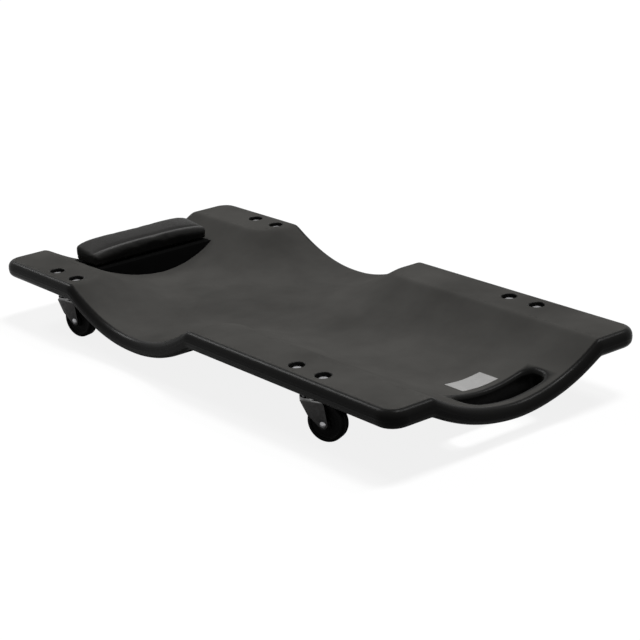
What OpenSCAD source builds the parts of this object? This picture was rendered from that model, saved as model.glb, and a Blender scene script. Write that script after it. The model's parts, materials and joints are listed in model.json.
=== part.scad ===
// Mechanic creeper: a low moulded deck with a body trough and a dipped waist,
// a padded headrest, a hand-hold slot at the foot and four swivel casters.
// X runs from head to foot, Y across, Z up, and the floor is at Z = 0.
// Left is the left hand of a person who lies on it face up, on the +Y side.

/* [Deck] */
// Length of the deck, head to foot
deck_l = 906; // [870:1:940]
// Width of the deck
deck_w = 420; // [410:1:450]
// Thickness of the moulding at its flat tops
deck_t = 25; // [22:0.5:27]
// Thickness of the moulding at the bottom of the trough
trough_t = 22; // [21.5:0.5:24]
// Radius of the moulded edge, top and bottom
edge_r = 10; // [7:0.5:10.5]
// Radius of the deck's corners in plan
corner_r = 26; // [18:1:34]

/* [Trough and waist] */
// Depth of the body trough below the flat tops
trough_depth = 44; // [38:1:47]
// Width of the flat tops on each side of the trough
flat_w = 69; // [67:1:76]
// Length of a head wing, from the head end to its round end
wing_l = 192; // [185:1:205]
// Length of a foot strip, from the foot end to its start
strip_l = 418; // [400:1:435]
// Softness of the crest along the trough
crest_soft = 4; // [2:1:8]
// Softness of the rise where a foot strip starts
start_soft = 7; // [4:1:14]
// Radius of a foot strip's inner corner in plan
strip_corner_r = 32; // [20:1:36]

/* [Hand-hold] */
// Width of the hand-hold slot, along the deck
slot_w = 35; // [30:1:40]
// Length of the hand-hold slot, across the deck
slot_l = 134; // [110:1:150]
// Radius of the slot's corners
slot_r = 14; // [8:1:15]
// Width of the grip bar between the slot and the foot end
grip_w = 25; // [22:1:30]

/* [Wells and bolts] */
// Distance of the caster centres from the deck's long edges
caster_inset = 28.3; // [28:0.1:31]
// Distance of the head casters from the head end
head_caster_inset = 142.3; // [130:0.1:145]
// Distance of the foot casters from the foot end
foot_caster_inset = 186.6; // [170:0.1:220]
// Distance between the two bolts of a caster
bolt_pitch = 53; // [51:0.1:56]
// Radius of a bolt well
well_r = 10.4; // [9.8:0.1:11.5]
// Depth of a bolt well
well_depth = 8; // [6:0.5:10]
// Radius of the rounded mouth of a well
well_lip_r = 2; // [1:0.5:3]
// Diameter of the deck bolts
bolt_d = 6; // [5:0.5:7]

/* [Casters] */
// Diameter of a wheel
wheel_d = 52; // [48:1:54]
// Width of a wheel's tread
wheel_w = 16.5; // [15:0.5:19]
// Width of a wheel's hub
hub_w = 22.5; // [20:0.5:24]
// Distance of the axle behind the swivel axis
trail = 21.5; // [20:0.5:24]
// Thickness of the fork's sheet
fork_t = 2.3; // [2:0.1:2.6]
// Gap between the wheel and the fork's crown
crown_gap = 1.8; // [1.5:0.1:3]
// Radius of the fork's crown and of the races
crown_r = 15; // [14.5:0.5:16]
// Height between the fork's crown and the caster's plate
race_gap = 7.2; // [7:0.1:8]
// Thickness of a caster's plate
plate_t = 2.5; // [2:0.1:3]
// Diameter of a race ball
ball_d = 4.8; // [4:0.1:5]
// Balls in each race
ball_n = 12; // [8:1:13]
// Diameter of the kingpin
kingpin_d = 8; // [7:0.5:9]
// Diameter of an axle
axle_d = 6; // [5:0.5:7]

/* [Headrest] */
// Distance of the cushion's ends from the crests of the trough
cushion_end_gap = 40; // [36:1:50]
// Width of the cushion, along the deck
cushion_w = 60; // [52:1:66]
// Distance of the cushion's front from the head end
cushion_reach = 93; // [88:1:98]
// Thickness of the cushion at its front corners
cushion_t = 17.5; // [14:0.5:22]
// How much higher the cushion's back corners stand than its front corners
cushion_rise = 6; // [0:1:8]
// How much higher the cushion stands in the middle of its length
cushion_bow = 7; // [3:1:10]
// Crown across the cushion's top
cushion_crown = 2; // [1:0.5:5]
// Height of the headrest's base above the bottom of the trough
base_h = 24; // [20:1:27]
// How far the base's ledge stands in front of the cushion
base_ledge = 12; // [4:1:14]

/* [Underside] */
// Length of a recess moulded into the underside
recess_l = 96; // [70:1:110]
// Width of a recess
recess_w = 22; // [16:1:26]
// Depth of a recess
recess_depth = 6; // [3:0.5:8]
// Distance between recesses along the deck
recess_pitch = 132; // [125:1:140]
// Distance of the side rows of recesses from the middle
recess_row = 64; // [50:1:70]

/* [Rest turn of the casters] */
// Turn of the head left caster
head_left_turn = -9; // [-30:0.5:30]
// Turn of the head right caster
head_right_turn = 13.5; // [-30:0.5:30]
// Turn of the foot left caster
foot_left_turn = 14; // [-30:0.5:30]
// Turn of the foot right caster
foot_right_turn = 23.5; // [-30:0.5:30]

/* [Hidden] */
$fn = 48;

// Clearances and the one overrun of every cut
over = 1;
seat_gap = 0.3;
run_gap = 0.1;
hole_gap = 0.3;

// Heights above the floor
axle_z = wheel_d / 2;
crown_z = wheel_d + crown_gap;
race_z = crown_z + fork_t;
plate_z = race_z + race_gap;
deck_z = plate_z + plate_t;
top_z = deck_z + deck_t;
ball_z = (race_z + plate_z) / 2;
floor_z = top_z - trough_depth;

// Places of the casters
caster_y = deck_w / 2 - caster_inset;
head_caster_x = -deck_l / 2 + head_caster_inset;
foot_caster_x = deck_l / 2 - foot_caster_inset;
head_left = [head_caster_x, caster_y, head_left_turn];
head_right = [head_caster_x, -caster_y, head_right_turn];
foot_left = [foot_caster_x, caster_y, foot_left_turn];
foot_right = [foot_caster_x, -caster_y, foot_right_turn];
casters = [head_left, head_right, foot_left, foot_right];

// The trough is one arc, and the underside an arc about the same centre line
trough_half_w = deck_w / 2 - flat_w;
trough_r = (trough_half_w * trough_half_w + trough_depth * trough_depth) / (2 * trough_depth);
under_r = trough_r + trough_t;
under_depth = trough_depth + trough_t - deck_t;
under_half_w = sqrt(2 * under_r * under_depth - under_depth * under_depth);
under_shift = under_half_w - trough_half_w;

// Outline of the flat tops: a wing is a strip with a round end about wing_x
wing_r = caster_y - trough_half_w;
wing_x = -deck_l / 2 + wing_l - wing_r;
strip_x = deck_l / 2 - strip_l;

// Steps of the deck's mesh
crest_band = 9;
trough_steps = 6;
crest_steps = 3;
side_steps = 5;
edge_steps = 3;
corner_steps = 4;
long_steps = 3;
end_steps = 6;
waist_steps = 9;
start_steps = 7;

// Rounds a distance off near zero, so that a crest is soft
function eased(d, soft) = d <= 0 ? 0 : sqrt(d * d + soft * soft) - soft;

// Fall of a circular trough at a distance from its crest
function arc_fall(d, half_w, r, depth) =
    let (left_over = half_w - min(max(d, 0), half_w))
    depth - r + sqrt(r * r - left_over * left_over);

// Distance past a wing, whose outline is round about the caster's line
function wing_reach(x, y) = norm([max(x - wing_x, 0), abs(y) - caster_y]) - wing_r;

// Distance past a foot strip, and how far its start counts in it
function strip_q(x, y) =
    [strip_x + strip_corner_r - x, trough_half_w + strip_corner_r - abs(y)];
function strip_reach(x, y) =
    let (q = strip_q(x, y))
    norm([max(q[0], 0), max(q[1], 0)]) + min(max(q[0], q[1]), 0) - strip_corner_r;
function strip_soft(x, y) =
    let (q = strip_q(x, y))
    q[0] <= 0 ? crest_soft
    : crest_soft + (start_soft - crest_soft) * q[0] * q[0] / (q[0] * q[0] + pow(max(q[1], 0), 2));

// Height of the deck's top and of its underside over a point in plan
function top_fall(d, soft) = arc_fall(eased(d, soft), trough_half_w, trough_r, trough_depth);
function under_fall(d) =
    arc_fall(eased(d + under_shift, crest_soft), under_half_w, under_r, under_depth);
function top_at(x, y) =
    top_z - min(top_fall(wing_reach(x, y), crest_soft), top_fall(strip_reach(x, y), strip_soft(x, y)));
function under_at(x, y) =
    deck_z - min(under_fall(wing_reach(x, y)), under_fall(strip_reach(x, y)));

// Half width of the deck, drawn in by its edge radius, at a place along it
corner_x = deck_l / 2 - corner_r;
inner_corner_r = corner_r - edge_r;
inner_half_w = deck_w / 2 - edge_r;
function half_w_at(x) =
    abs(x) <= corner_x ? inner_half_w
    : deck_w / 2 - corner_r + sqrt(max(pow(inner_corner_r, 2) - pow(abs(x) - corner_x, 2), 0));

// Stations along the deck and rows across it, closer where the form turns
function span(a, b, steps) = [for (i = [0:steps - 1]) a + (b - a) * i / steps];
waist_x = (wing_x + strip_x) / 2;
corner_turns = [for (i = [0:corner_steps]) i * 90 / corner_steps];
stations = concat(
    [for (i = [corner_steps:-1:1]) -corner_x - inner_corner_r * sin(corner_turns[i])],
    span(-corner_x, wing_x, long_steps),
    span(wing_x, wing_x + wing_r + crest_band, end_steps),
    span(wing_x + wing_r + crest_band, waist_x, waist_steps),
    span(waist_x, strip_x - crest_band, waist_steps),
    span(strip_x - crest_band, strip_x + strip_corner_r + crest_band, start_steps),
    span(strip_x + strip_corner_r + crest_band, corner_x, long_steps),
    [for (i = [0:corner_steps]) corner_x + inner_corner_r * sin(corner_turns[i])]
);
kept_row = trough_half_w + crest_band;
half_rows = concat(
    span(0, trough_half_w - crest_band, trough_steps),
    span(trough_half_w - crest_band, kept_row, crest_steps),
    span(kept_row, inner_half_w, side_steps),
    [inner_half_w]
);
row_n = 2 * len(half_rows) - 1;
station_n = len(stations);
function row_y(j) = sign(j - len(half_rows) + 1) * half_rows[abs(j - len(half_rows) + 1)];
function fitted_y(x, y) =
    abs(y) <= kept_row ? y
    : sign(y) * (kept_row + (abs(y) - kept_row)
        * (half_w_at(x) - kept_row) / (inner_half_w - kept_row));
function plan(i, j) = [stations[i], fitted_y(stations[i], row_y(j))];

// The outline as a loop of grid places, and the way out of the deck at each
rim = concat(
    [for (i = [0:station_n - 2]) [i, 0]],
    [for (j = [0:row_n - 2]) [station_n - 1, j]],
    [for (i = [station_n - 1:-1:1]) [i, row_n - 1]],
    [for (j = [row_n - 1:-1:1]) [0, j]]
);
function outward(p) =
    abs(p[0]) <= corner_x ? [0, sign(p[1])]
    : abs(p[1]) <= deck_w / 2 - corner_r + seat_gap / 10 ? [sign(p[0]), 0]
    : let (v = [abs(p[0]) - corner_x, abs(p[1]) - deck_w / 2 + corner_r])
        [sign(p[0]) * v[0], sign(p[1]) * v[1]] / norm(v);

// Ring of the rounded edge at a turn from 0, at the top, to 180, underneath
function edge_point(ij, turn, low) =
    let (p = plan(ij[0], ij[1]), n = outward(p))
    let (q = p + n * edge_r * sin(turn))
    let (z = low ? under_at(p[0], p[1]) + edge_r * (1 + cos(turn))
        : top_at(p[0], p[1]) - edge_r * (1 - cos(turn)))
    [q[0], q[1], z];
edge_turns = [for (i = [1:edge_steps]) [i * 90 / edge_steps, false]];
under_turns = [for (i = [edge_steps:-1:1]) [180 - i * 90 / edge_steps, true]];
rings = concat(edge_turns, under_turns);

function grid_index(i, j, layer) = layer * station_n * row_n + i * row_n + j;
rim_start = 2 * station_n * row_n;
rim_n = len(rim);
function ring_index(k, m) =
    m < 0 ? grid_index(rim[k % rim_n][0], rim[k % rim_n][1], 0)
    : m >= len(rings) ? grid_index(rim[k % rim_n][0], rim[k % rim_n][1], 1)
    : rim_start + m * rim_n + k % rim_n;

deck_points = concat(
    [for (i = [0:station_n - 1], j = [0:row_n - 1])
        let (p = plan(i, j)) [p[0], p[1], top_at(p[0], p[1])]],
    [for (i = [0:station_n - 1], j = [0:row_n - 1])
        let (p = plan(i, j)) [p[0], p[1], under_at(p[0], p[1])]],
    [for (m = [0:len(rings) - 1], k = [0:rim_n - 1])
        edge_point(rim[k], rings[m][0], rings[m][1])]
);
// Two triangles of a grid cell, cut the other way on the other side of the middle
function cell(a, b, c, d, flip) = flip ? [[a, b, d], [b, c, d]] : [[a, b, c], [a, c, d]];
deck_faces = [
    for (i = [0:station_n - 2], j = [0:row_n - 2])
        for (f = cell(grid_index(i, j, 0), grid_index(i, j + 1, 0),
            grid_index(i + 1, j + 1, 0), grid_index(i + 1, j, 0), j < row_n / 2 - 1)) f,
    for (i = [0:station_n - 2], j = [0:row_n - 2])
        for (f = cell(grid_index(i, j, 1), grid_index(i + 1, j, 1),
            grid_index(i + 1, j + 1, 1), grid_index(i, j + 1, 1), j < row_n / 2 - 1)) f,
    for (m = [-1:len(rings) - 1], k = [0:rim_n - 1])
        for (f = cell(ring_index(k, m), ring_index(k + 1, m),
            ring_index(k + 1, m + 1), ring_index(k, m + 1), false)) f
];

module at_caster(c) {
    translate([c[0], c[1], 0]) rotate([0, 0, c[2]]) children();
}

module at_bolts() {
    for (c = casters, s = [-1, 1])
        translate([c[0] + s * bolt_pitch / 2, c[1], 0]) children();
}

// A flat shape with round corners, made of squares and true circles
module rounded_square(l, w, r) {
    square([l - 2 * r, w], center = true);
    square([l, w - 2 * r], center = true);
    for (sx = [-1, 1], sy = [-1, 1])
        translate([sx * (l / 2 - r), sy * (w / 2 - r)]) circle(r = r);
}

// Cut for one bolt: a well with a rounded mouth and the bolt's hole
well_z = top_z - well_depth;
module well_cut() {
    translate([0, 0, well_z]) cylinder(r = well_r, h = well_depth + over);
    rotate_extrude() difference() {
        translate([0, top_z - well_lip_r]) square([well_r + well_lip_r, well_lip_r + over]);
        translate([well_r + well_lip_r, top_z - well_lip_r]) circle(r = well_lip_r);
    }
    translate([0, 0, deck_z - over])
        cylinder(d = bolt_d + hole_gap, h = deck_t + over);
}

// Stadium recesses in the underside: a long middle row and two short side rows
recess_r = recess_w / 2;
recess_foot_x = deck_l / 2 - grip_w - slot_w - recess_pitch / 2;
recess_places = concat(
    [for (i = [0:4]) [recess_foot_x - i * recess_pitch, 0]],
    [for (i = [0:2], s = [-1, 1]) [recess_foot_x - i * recess_pitch, s * recess_row]]
);
module recess_cuts() {
    for (p = recess_places) translate([p[0], p[1], 0])
        linear_extrude(height = under_at(p[0], p[1]) + recess_depth) {
            square([recess_l - recess_w, recess_w], center = true);
            for (s = [-1, 1]) translate([s * (recess_l / 2 - recess_r), 0]) circle(r = recess_r);
        }
}

// Screws that hold the headrest from below
screw_d = 4.5;
screw_head_d = 9;
screw_head_h = 3;
screw_pocket_d = 12;
screw_floor_t = 11;
screw_bite = 14;
cushion_l = 2 * (trough_half_w - cushion_end_gap);
cushion_x = -deck_l / 2 + cushion_reach - cushion_w / 2;
screw_spread = cushion_l / 2;
screw_x = cushion_x;
screw_top_z = top_at(screw_x, screw_spread / 2);
screw_seat_z = screw_top_z - screw_floor_t;

module deck() color([0.28, 0.28, 0.27]) {
    slot_x = deck_l / 2 - grip_w - slot_w / 2;
    difference() {
        polyhedron(points = deck_points, faces = deck_faces, convexity = 6);
        at_bolts() well_cut();
        recess_cuts();
        translate([slot_x, 0, floor_z - trough_t - over])
            linear_extrude(height = trough_depth + trough_t + 2 * over)
                rounded_square(slot_w, slot_l, slot_r);
        for (s = [-1, 1]) translate([screw_x, s * screw_spread / 2, 0]) {
            translate([0, 0, floor_z - trough_t - over])
                cylinder(d = screw_pocket_d, h = screw_seat_z - floor_z + trough_t + over);
            cylinder(d = screw_d + hole_gap, h = top_z);
        }
    }
}

// Base of the headrest: a drafted riser whose bottom follows the trough
base_z = floor_z + base_h;
base_draft = 15;
base_back_gap = 30;
base_front_x = -deck_l / 2 + cushion_reach + base_ledge;
base_back_x = -deck_l / 2 + base_back_gap;
base_rows = [for (j = [0:row_n - 1]) if (abs(row_y(j)) < trough_half_w) row_y(j)];
module headrest_base() color([0.1, 0.1, 0.1]) {
    difference() {
        intersection() {
            rotate([90, 0, 0])
                linear_extrude(height = 2 * trough_half_w, center = true)
                    polygon([
                        [base_back_x, 0], [base_front_x + base_draft, 0],
                        [base_front_x + base_draft, floor_z], [base_front_x, base_z],
                        [base_back_x, base_z]
                    ]);
            translate([-deck_l / 2, 0, 0]) rotate([90, 0, 90])
                linear_extrude(height = deck_l / 2)
                    polygon([for (y = base_rows) [y, top_at(base_back_x, y) + seat_gap]]);
        }
        for (s = [-1, 1]) translate([screw_x, s * screw_spread / 2, 0])
            cylinder(d = screw_d + hole_gap, h = screw_top_z + screw_bite + over);
    }
}

module headrest_screws() color([0.7, 0.7, 0.72])
    for (s = [-1, 1]) translate([screw_x, s * screw_spread / 2, 0]) {
        translate([0, 0, screw_seat_z - screw_head_h])
            cylinder(d = screw_head_d, h = screw_head_h);
        translate([0, 0, screw_seat_z - screw_head_h])
            cylinder(d = screw_d, h = screw_head_h + screw_floor_t + screw_bite);
    }

// Cushion: rings of a rounded section, lofted across the deck
cushion_rings = 22;
cushion_sides = 26;
cushion_draw_share = 0.12;
cushion_droop_share = 0.06;
front_bow_power = 2;
back_bow_power = 8;
cushion_end_power = 7;
cushion_side_power = 5;
cushion_z = base_z + seat_gap;
function swing(v, power) = sign(v) * pow(abs(v), 2 / power);
function cushion_point(i, k) =
    let (s = -cos(i * 180 / cushion_rings), turn = k * 360 / cushion_sides)
    let (closing = pow(max(1 - pow(abs(s), cushion_end_power), 0), 1 / cushion_end_power))
    let (t = swing(cos(turn), cushion_side_power), v = swing(sin(turn), cushion_side_power))
    let (half_w = cushion_w / 2 * (1 - cushion_draw_share * (1 - closing)))
    let (bow_power = (front_bow_power + back_bow_power + (front_bow_power - back_bow_power) * t) / 2)
    let (rise = (cushion_t + cushion_rise * (1 - t) / 2
        + cushion_bow * (1 - pow(abs(s), bow_power)) + cushion_crown * (1 - t * t) * (1 - s * s))
        * (1 - cushion_droop_share * (1 - closing)))
    [cushion_x + half_w * t, s * cushion_l / 2, cushion_z + rise * (1 + v) / 2];
cushion_points = [
    for (i = [0:cushion_rings], k = [0:cushion_sides - 1]) cushion_point(i, k)
];
module headrest_cushion() color([0.27, 0.27, 0.27])
    polyhedron(points = cushion_points, faces = concat(
        [[for (k = [0:cushion_sides - 1]) k]],
        [for (i = [0:cushion_rings - 1], k = [0:cushion_sides - 1])
            let (a = i * cushion_sides, b = (k + 1) % cushion_sides)
            for (f = cell(a + k, a + cushion_sides + k,
                a + cushion_sides + b, a + b, false)) f],
        [[for (k = [cushion_sides - 1:-1:0]) cushion_rings * cushion_sides + k]]
    ));

// Bolts, washers and nuts of the casters
washer_r = well_r - seat_gap - run_gap;
washer_t = 1.2;
head_r = 8;
head_h = 3.6;
nut_h = 4.5;
nut_d = 11;
bolt_tail = 1.5;
module deck_bolts() color([0.75, 0.75, 0.77]) at_bolts() {
    head_z = well_z + washer_t;
    dome_r = (head_r * head_r + head_h * head_h) / (2 * head_h);
    translate([0, 0, head_z]) intersection() {
        cylinder(r = head_r, h = head_h);
        translate([0, 0, head_h - dome_r]) sphere(r = dome_r);
    }
    translate([0, 0, plate_z - nut_h - bolt_tail])
        cylinder(d = bolt_d, h = head_z + head_h / 2 - plate_z + nut_h + bolt_tail);
}

module deck_washers() color([0.7, 0.7, 0.72]) at_bolts()
    translate([0, 0, well_z]) difference() {
        cylinder(r = washer_r, h = washer_t);
        translate([0, 0, -over]) cylinder(d = bolt_d + hole_gap, h = washer_t + 2 * over);
    }

module plate_nuts() color([0.7, 0.7, 0.72]) at_bolts()
    translate([0, 0, plate_z - nut_h]) difference() {
        cylinder(d = nut_d, h = nut_h, $fn = 6);
        translate([0, 0, -over]) cylinder(d = bolt_d + run_gap, h = nut_h + 2 * over);
    }

// Caster: a two-hole plate with the upper race pressed into it
race_clear = 4;
race_in_r = kingpin_d / 2 + race_clear;
race_h = 2.4;
ball_track_r = (crown_r + race_in_r) / 2;
plate_end_r = 9.5;
plate_border = 3;
plate_mid_r = crown_r + plate_border;
module race_ring(z, h) {
    rotate_extrude($fn = 64) difference() {
        translate([race_in_r, z]) square([crown_r - race_in_r, h]);
        translate([ball_track_r, ball_z]) circle(d = ball_d + 2 * seat_gap);
    }
}

module caster_plate(c) color([0.12, 0.12, 0.12]) translate([c[0], c[1], 0]) {
    difference() {
        translate([0, 0, plate_z]) linear_extrude(height = plate_t) hull() {
            circle(r = plate_mid_r, $fn = 32);
            for (s = [-1, 1]) translate([s * bolt_pitch / 2, 0]) circle(r = plate_end_r, $fn = 32);
        }
        for (s = [-1, 1]) translate([s * bolt_pitch / 2, 0, plate_z - over])
            cylinder(d = bolt_d + hole_gap, h = plate_t + 2 * over);
        translate([0, 0, plate_z - over])
            cylinder(d = kingpin_d + 2 * run_gap, h = plate_t + 2 * over);
    }
    race_ring(plate_z - race_h, race_h);
}

// Kingpin: a rivet through plate and crown, with its washer head below the crown
kingpin_head_r = 8;
kingpin_head_h = 2.4;
kingpin_collar_r = 6.5;
module kingpin(c) color([0.6, 0.6, 0.62]) translate([c[0], c[1], 0]) {
    head_z = crown_z - seat_gap - kingpin_head_h;
    translate([0, 0, head_z]) cylinder(r = kingpin_head_r, h = kingpin_head_h);
    translate([0, 0, head_z]) cylinder(d = kingpin_d, h = deck_z - head_z);
    translate([0, 0, race_z + seat_gap])
        cylinder(r = kingpin_collar_r, h = race_gap - seat_gap);
}

module balls(c) color([0.8, 0.8, 0.82]) translate([c[0], c[1], 0])
    for (i = [0:ball_n - 1]) rotate([0, 0, i * 360 / ball_n])
        translate([ball_track_r, 0, ball_z]) sphere(d = ball_d, $fn = 24);

// Fork: a crown with the lower race, and two broad legs that sweep back
leg_y = hub_w / 2 + seat_gap;
leg_boss_r = 6.3;
leg_heel_r = 7;
leg_toe_r = 1.5;
leg_belly_r = 9.5;
leg_toe_x = -8;
leg_belly_x = 8;
leg_belly_drop = 14.3;
leg_heel_lead = 4;
leg_heel_x = trail - leg_heel_lead;
module leg_outline() {
    hull() {
        translate([trail, axle_z]) circle(r = leg_boss_r, $fn = 32);
        translate([leg_heel_x, race_z - leg_heel_r]) circle(r = leg_heel_r, $fn = 32);
        translate([leg_belly_x, race_z - leg_belly_drop]) circle(r = leg_belly_r, $fn = 48);
        translate([leg_toe_x, race_z - leg_toe_r]) circle(r = leg_toe_r, $fn = 32);
    }
}

module fork(c) color([0.33, 0.33, 0.34]) at_caster(c) {
    difference() {
        union() {
            translate([0, 0, crown_z]) cylinder(r = crown_r, h = fork_t);
            translate([leg_toe_x, -leg_y - fork_t / 2, crown_z])
                cube([leg_heel_x - leg_toe_x, 2 * leg_y + fork_t, fork_t]);
            for (s = [-1, 1]) translate([0, s * (leg_y + fork_t / 2), 0]) rotate([90, 0, 0])
                linear_extrude(height = fork_t, center = true) leg_outline();
        }
        translate([0, 0, crown_z - over])
            cylinder(d = kingpin_d + 2 * run_gap, h = fork_t + 2 * over);
        translate([trail, 0, axle_z]) rotate([90, 0, 0])
            cylinder(d = axle_d + 2 * run_gap, h = 2 * (leg_y + fork_t + over), center = true);
    }
    race_ring(race_z, race_h);
}

// Axle: a rivet with a domed head outside each leg
rivet_head_r = 4.6;
rivet_head_h = 2.2;
module axle(c) color([0.8, 0.8, 0.82]) at_caster(c) translate([trail, 0, axle_z]) {
    dome_r = (rivet_head_r * rivet_head_r + rivet_head_h * rivet_head_h) / (2 * rivet_head_h);
    outer_y = leg_y + fork_t;
    rotate([90, 0, 0]) cylinder(d = axle_d, h = 2 * outer_y, center = true);
    for (s = [-1, 1]) rotate([-90 * s, 0, 0]) translate([0, 0, outer_y]) intersection() {
        cylinder(r = rivet_head_r, h = rivet_head_h);
        translate([0, 0, rivet_head_h - dome_r]) sphere(r = dome_r);
    }
}

bush_d = 9;
module bush(c) color([0.65, 0.65, 0.67]) at_caster(c) translate([trail, 0, axle_z])
    rotate([90, 0, 0]) difference() {
        cylinder(d = bush_d, h = hub_w + seat_gap, center = true);
        cylinder(d = axle_d + 2 * run_gap, h = hub_w + 2 * over, center = true);
    }

// Wheel: a turned profile with rounded shoulders, dished sides and a hub
shoulder_r = 3.5;
hub_r = 8.5;
rim_t = 5.5;
dish = 2.5;
module wheel(c) color([0.07, 0.07, 0.07]) at_caster(c) translate([trail, 0, axle_z])
    rotate([90, 0, 0]) rotate_extrude($fn = 96) {
        tread_r = wheel_d / 2;
        bore_r = bush_d / 2 + run_gap;
        web_r = tread_r - rim_t;
        translate([bore_r, -hub_w / 2]) square([hub_r - bore_r, hub_w]);
        translate([hub_r - over, -wheel_w / 2 + dish])
            square([web_r - hub_r + 2 * over, wheel_w - 2 * dish]);
        translate([web_r, -wheel_w / 2]) square([rim_t - shoulder_r, wheel_w]);
        translate([web_r, -wheel_w / 2 + shoulder_r])
            square([rim_t, wheel_w - 2 * shoulder_r]);
        for (s = [-1, 1])
            translate([tread_r - shoulder_r, s * (wheel_w / 2 - shoulder_r)])
                circle(r = shoulder_r, $fn = 48);
    }

deck();
headrest_base();
headrest_cushion();
headrest_screws();
deck_bolts();
deck_washers();
plate_nuts();
caster_plate(head_left);  // plate_head_left
caster_plate(head_right);  // plate_head_right
caster_plate(foot_left);  // plate_foot_left
caster_plate(foot_right);  // plate_foot_right
kingpin(head_left);  // kingpin_head_left
kingpin(head_right);  // kingpin_head_right
kingpin(foot_left);  // kingpin_foot_left
kingpin(foot_right);  // kingpin_foot_right
balls(head_left);  // balls_head_left
balls(head_right);  // balls_head_right
balls(foot_left);  // balls_foot_left
balls(foot_right);  // balls_foot_right
fork(head_left);  // fork_head_left
fork(head_right);  // fork_head_right
fork(foot_left);  // fork_foot_left
fork(foot_right);  // fork_foot_right
axle(head_left);  // axle_head_left
axle(head_right);  // axle_head_right
axle(foot_left);  // axle_foot_left
axle(foot_right);  // axle_foot_right
bush(head_left);  // bush_head_left
bush(head_right);  // bush_head_right
bush(foot_left);  // bush_foot_left
bush(foot_right);  // bush_foot_right
wheel(head_left);  // wheel_head_left
wheel(head_right);  // wheel_head_right
wheel(foot_left);  // wheel_foot_left
wheel(foot_right);  // wheel_foot_right
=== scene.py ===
import json
import bmesh
import bpy
from math import atan2, copysign, cos, degrees, exp, hypot, pi, radians, sin, sqrt, tan
from mathutils import Vector, Matrix


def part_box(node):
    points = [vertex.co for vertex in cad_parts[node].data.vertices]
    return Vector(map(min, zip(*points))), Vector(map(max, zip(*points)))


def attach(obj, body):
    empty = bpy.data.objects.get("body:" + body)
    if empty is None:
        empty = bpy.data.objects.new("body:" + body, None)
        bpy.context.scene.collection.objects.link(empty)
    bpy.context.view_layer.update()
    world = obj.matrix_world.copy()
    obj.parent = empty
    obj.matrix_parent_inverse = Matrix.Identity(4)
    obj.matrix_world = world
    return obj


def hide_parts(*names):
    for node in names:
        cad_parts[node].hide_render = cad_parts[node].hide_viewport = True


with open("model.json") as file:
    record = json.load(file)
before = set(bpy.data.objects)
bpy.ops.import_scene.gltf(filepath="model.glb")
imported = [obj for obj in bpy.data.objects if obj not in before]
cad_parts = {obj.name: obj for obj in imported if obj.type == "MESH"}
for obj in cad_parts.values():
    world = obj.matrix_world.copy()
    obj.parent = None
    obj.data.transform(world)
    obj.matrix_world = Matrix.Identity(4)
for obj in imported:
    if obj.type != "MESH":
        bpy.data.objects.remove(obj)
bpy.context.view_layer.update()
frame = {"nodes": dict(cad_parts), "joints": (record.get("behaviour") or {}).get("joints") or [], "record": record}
nodes = frame["nodes"]
scene = bpy.context.scene
mm = 0.001
print("frame loaded, nodes:", len(nodes))


def newObject(name, data):
    made = bpy.data.objects.new(name, data)
    scene.collection.objects.link(made)
    return made


# Camera at the photograph's place, with a long lens
cameraSet = {
    "place": (2027.4, -1501.3, 908.8),
    "forward": (-0.75289, 0.5728, -0.32412),
    "up": (-0.22216, 0.24238, 0.9444),
    "lens": 107.11,
    "sensor": 36.0,
    "clip": (0.05, 60),
}


def makeCamera(s):
    data = bpy.data.cameras.new("photoCamera")
    data.lens = s["lens"]
    data.sensor_width = s["sensor"]
    data.sensor_fit = "HORIZONTAL"
    data.clip_start, data.clip_end = s["clip"]
    camera = newObject("photoCamera", data)
    back = -Vector(s["forward"]).normalized()
    up = Vector(s["up"])
    right = up.cross(back).normalized()
    up = back.cross(right).normalized()
    turn = Matrix((right, up, back)).transposed().to_4x4()
    camera.matrix_world = Matrix.Translation(Vector(s["place"]) * mm) @ turn
    scene.camera = camera


makeCamera(cameraSet)


# Each input, by name or number, is linked to a socket or set to a value
def setInputs(tree, node, inputs):
    for key, value in inputs.items():
        if hasattr(value, "is_linked"):
            tree.links.new(value, node.inputs[key])
        else:
            node.inputs[key].default_value = value


def addNode(tree, kind, inputs, **settings):
    node = tree.nodes.new(kind)
    for name, value in settings.items():
        setattr(node, name, value)
    setInputs(tree, node, inputs)
    return node


def clearTree(owner):
    owner.use_nodes = True
    owner.node_tree.nodes.clear()
    return owner.node_tree


# Materials: small helpers, then one function for each finish
def newMaterial(slot):
    first, second = slot.split("_")
    material = bpy.data.materials.new(first + second.title())
    tree = clearTree(material)
    shader = tree.nodes.new("ShaderNodeBsdfPrincipled")
    addNode(tree, "ShaderNodeOutputMaterial", {0: shader.outputs[0]})
    return material, tree, shader, addNode(tree, "ShaderNodeTexCoord", {}).outputs["Object"]


def addNoise(tree, coords, scale, detail=3.0, roughness=0.5, stretch=(1, 1, 1)):
    mapping = addNode(tree, "ShaderNodeMapping", {"Vector": coords, "Scale": stretch})
    return addNode(tree, "ShaderNodeTexNoise", {
        "Vector": mapping.outputs[0], "Scale": scale, "Detail": detail, "Roughness": roughness}).outputs[0]


def addRange(tree, value, low, high, toLow, toHigh):
    return addNode(tree, "ShaderNodeMapRange", {
        "Value": value, "From Min": low, "From Max": high, "To Min": toLow, "To Max": toHigh}).outputs[0]


def addMix(tree, factor, a, b):
    first, second = [color if hasattr(color, "is_linked") else (*color, 1) for color in (a, b)]
    mix = addNode(tree, "ShaderNodeMix", {"Factor": factor, 6: first, 7: second}, data_type="RGBA")
    return mix.outputs[2]


def addBump(tree, shader, height, strength, distance, under=None):
    bump = addNode(tree, "ShaderNodeBump", {"Height": height, "Strength": strength, "Distance": distance})
    if under is not None:
        tree.links.new(under, bump.inputs["Normal"])
    tree.links.new(bump.outputs[0], shader.inputs["Normal"])
    return bump.outputs[0]


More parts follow.
